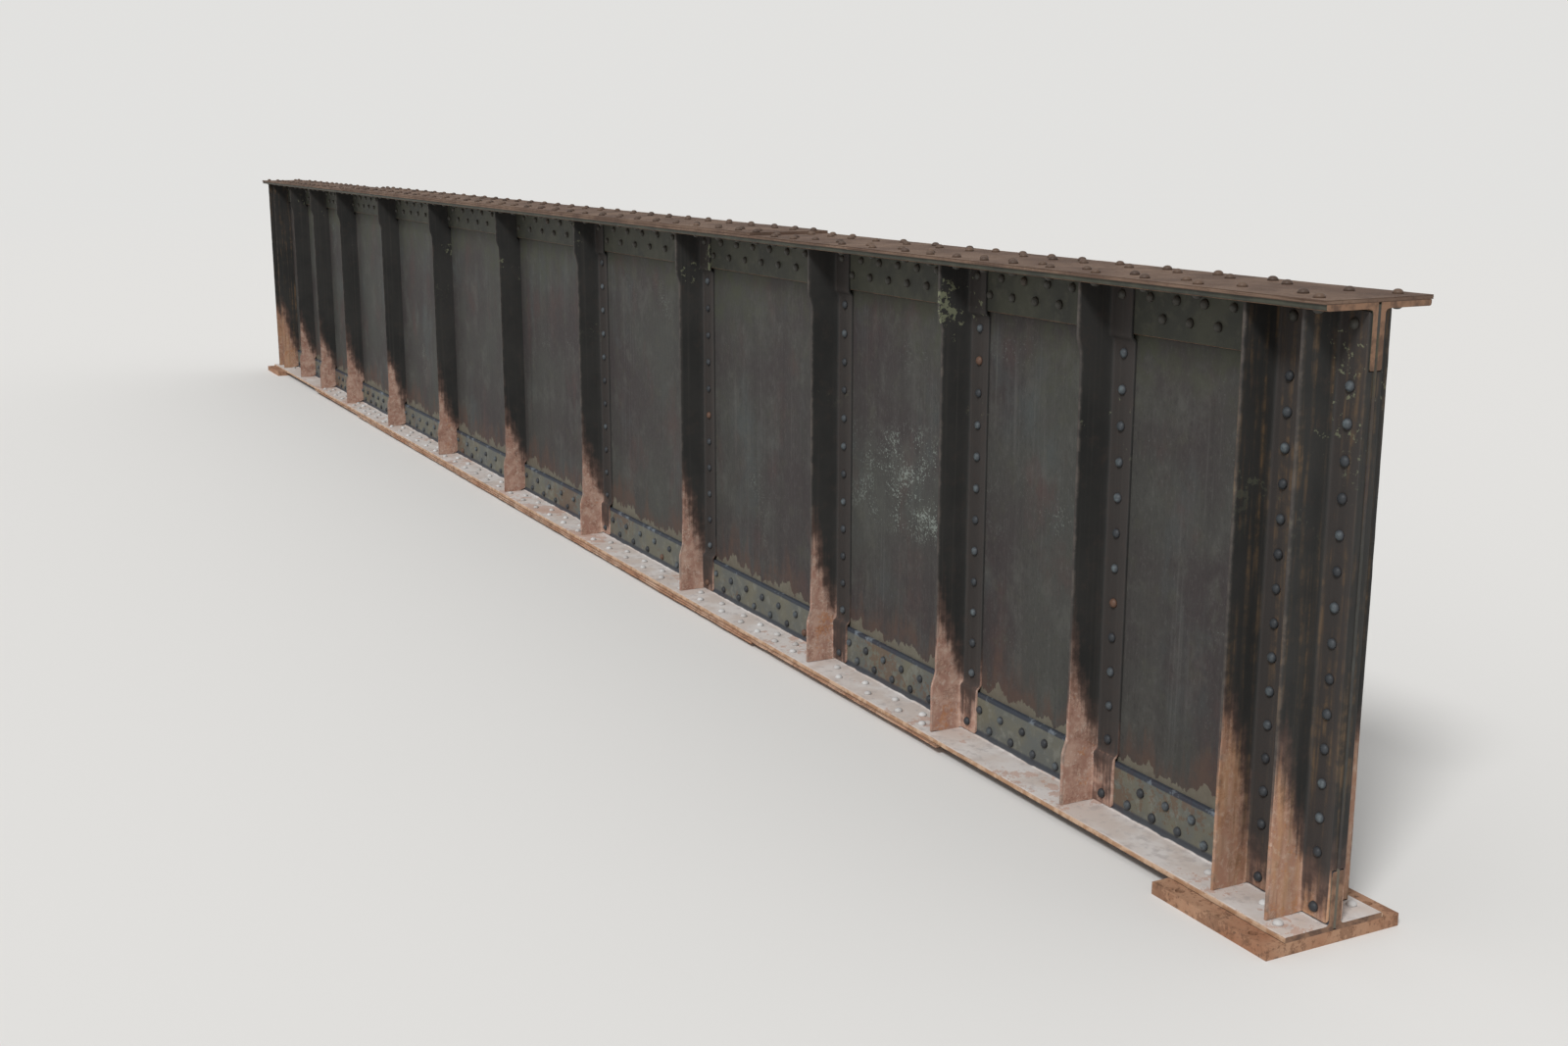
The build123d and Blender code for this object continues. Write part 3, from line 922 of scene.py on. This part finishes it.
def row_along(first_x, last_x, offset):
    """Places of one row's rivets between two points, from its pitch there."""
    count = max(1, round((last_x - first_x) / flange_pitch((first_x + last_x) / 2)))
    step = (last_x - first_x) / count
    return [first_x + step * (k + offset) for k in range(count)]


def clear_of_stiffeners(x, room):
    """Whether a place has that much room to every stiffener's web leg."""
    return all(x < low - room or x > high + room for low, high in covered)


def by_a_heel(x):
    """Whether a head there would run into a stiffener's outer leg or its root."""
    reach = stiffener_plate + stiffener_root + head_radius * 0.6
    return any(-head_radius < turned * (x - heel_x) < reach for heel_x, turned in heels)


def stiffener_row(node, y, margin, pitch):
    """Seats of the rivets up one web leg, evenly spread between the flange angles."""
    heel_x, turned = heel_of(node)
    low = bottom_edge + margin
    high = top_edge - margin
    count = round((high - low) / pitch)
    return [(heel_x + turned * stiffener_gauge, y, low + (high - low) * k / count) for k in range(count + 1)]


flange_seats = []
lines = sorted(heel_x + turned * stiffener_gauge for heel_x, turned in heels)
for first_x, last_x in zip(lines, lines[1:]):
    for up, offset in zip(flange_rows, (0.0, 0.5)):
        flange_seats += [(x, up) for x in row_along(first_x, last_x, offset)]
flange_seats.append((lines[-1], flange_rows[0]))

for face, out in [("outer", -1), ("inner", 1)]:
    seats = []
    for x, up in flange_seats:
        on_stiffener = not clear_of_stiffeners(x, 0.0)
        half_on = not on_stiffener and not clear_of_stiffeners(x, head_radius)
        if by_a_heel(x) or half_on:
            continue
        y = out * (web_face + flange_plate + (stiffener_plate if on_stiffener else 0.0))
        seats += [(x, y, bottom_back + up), (x, y, top_back - up)]
    rivet_heads(f"flange_rivets_{face}", seats, (0, out, 0))

    seats = []
    for node in crimped_nodes:
        pitch = outer_pitch if abs(heel_of(node)[0]) > outer_pitch_from else middle_pitch
        seats += stiffener_row(node, out * (web_face + stiffener_plate), crimped_margin, pitch)
    for node in straight_nodes:
        y = out * (web_face + flange_plate + stiffener_plate)
        seats += stiffener_row(node, y, straight_margin, straight_pitch)
    rivet_heads(f"stiffener_rivets_{face}", seats, (0, out, 0))

first_cover_low, first_cover_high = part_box("bottom_cover_plate_1")
second_cover_low, second_cover_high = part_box("bottom_cover_plate_2")
top_cover_low, top_cover_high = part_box("top_cover_plate_2")
sole_inner_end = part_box("sole_plate_right")[0].x


def cover_rows():
    """Places of the two staggered rows in each ledge: closer together near the plates' ends."""
    rows = [[], []]
    x = 0.0
    row = 0
    while x < half_length - girder_end_margin:
        rows[row] += [x, -x] if x > 0 else [x]
        from_plate_end = min(abs(x - second_cover_high.x), abs(x - first_cover_high.x))
        x += close_cover_pitch if from_plate_end < close_pitch_reach else cover_pitch
        row = 1 - row
    return rows


ledge_seats, under_seats, top_seats, top_under_seats = [], [], [], []
for row, gauge in zip(cover_rows(), cover_gauges):
    for x in row:
        if by_a_heel(x):
            continue
        on_cover = abs(x) < first_cover_high.x - cover_end_margin
        on_sole = abs(x) > sole_inner_end + cover_end_margin
        under_z = second_cover_low.z if abs(x) < second_cover_high.x else first_cover_low.z
        top_z = top_cover_high.z if abs(x) < top_cover_high.x else top_cover_low.z
        for y in (-gauge, gauge):
            if on_cover or on_sole:
                ledge_seats.append((x, y, foot))
            if on_cover:
                under_seats.append((x, y, under_z))
            top_seats.append((x, y, top_z))
            top_under_seats.append((x, y, top_back - flange_plate))
rivet_heads("ledge_rivets", ledge_seats, (0, 0, 1), 1.0)
rivet_heads("underside_rivets", under_seats, (0, 0, -1), -1.0)
rivet_heads("top_rivets", top_seats, (0, 0, 1), -1.0)
rivet_heads("top_ledge_rivets", top_under_seats, (0, 0, -1))


# Floor, light and camera
# A plain pale floor, an even sky and one soft lamp, high to the left of the camera.
backdrop_tone = (0.76, 0.755, 0.74, 1)
floor_tone = (0.74, 0.73, 0.71, 1)
floor_reach = 400.0
fade_start = 11.0  # from the middle of the girder
fade_end = 60.0


def stage_floor():
    """Lay the floor, which takes the backdrop's tone far away, so that no horizon shows."""
    mesh = bpy.data.meshes.new("floor")
    corners = [(x * floor_reach, y * floor_reach, 0) for x, y in [(-1, -1), (1, -1), (1, 1), (-1, 1)]]
    mesh.from_pydata(corners, [], [(0, 1, 2, 3)])
    floor = add_object("floor", mesh)
    material, tree, shader, place = new_material("pale_floor", 0.9)
    shader.inputs["Base Color"].default_value = floor_tone
    seen = add_node(tree, "LightPath").outputs["Is Camera Ray"]
    fade = spread(tree, vector_calc(tree, "LENGTH", place), fade_start, fade_end)
    fade = times(tree, fade, seen)
    backdrop = add_node(tree, "Emission", {"Color": backdrop_tone, "Strength": 1.0})
    both = add_node(tree, "MixShader", {0: fade, 1: shader.outputs[0], 2: backdrop.outputs[0]})
    tree.links.new(both.outputs[0], tree.nodes["Material Output"].inputs["Surface"])
    mesh.materials.append(material)


stage_floor()
scene = bpy.context.scene
scene.view_settings.view_transform = "Standard"
world = bpy.data.worlds.new("studio")
scene.world = world
world.use_nodes = True
world_tree = world.node_tree
sky = world_tree.nodes["Background"]
sky.inputs["Color"].default_value = (0.60, 0.60, 0.60, 1)
backdrop = add_node(world_tree, "Background", {"Color": backdrop_tone, "Strength": 1.0})
seen = add_node(world_tree, "LightPath").outputs["Is Camera Ray"]
both = add_node(world_tree, "MixShader", {0: seen, 1: sky.outputs[0], 2: backdrop.outputs[0]})
world_tree.links.new(both.outputs[0], world_tree.nodes["World Output"].inputs["Surface"])

lamp = bpy.data.lights.new("key", "SUN")
lamp.energy = 2.0
lamp.angle = math.radians(12)
key = add_object("key", lamp)
key.rotation_euler = Vector((-0.45, 0.62, -0.75)).to_track_quat("-Z", "Y").to_euler()

camera_data = bpy.data.cameras.new("camera")
camera_data.lens = 40.0
camera_data.sensor_width = 36.0
camera_data.clip_end = 900
camera = add_object("camera", camera_data)
camera.location = (11.709, -3.896, 2.513)
pitch = math.radians(12.5)  # down from level
swing = math.radians(27.0)  # aside from the girder's length
camera.rotation_euler = (math.pi / 2 - pitch, 0, math.pi / 2 - swing)
scene.camera = camera
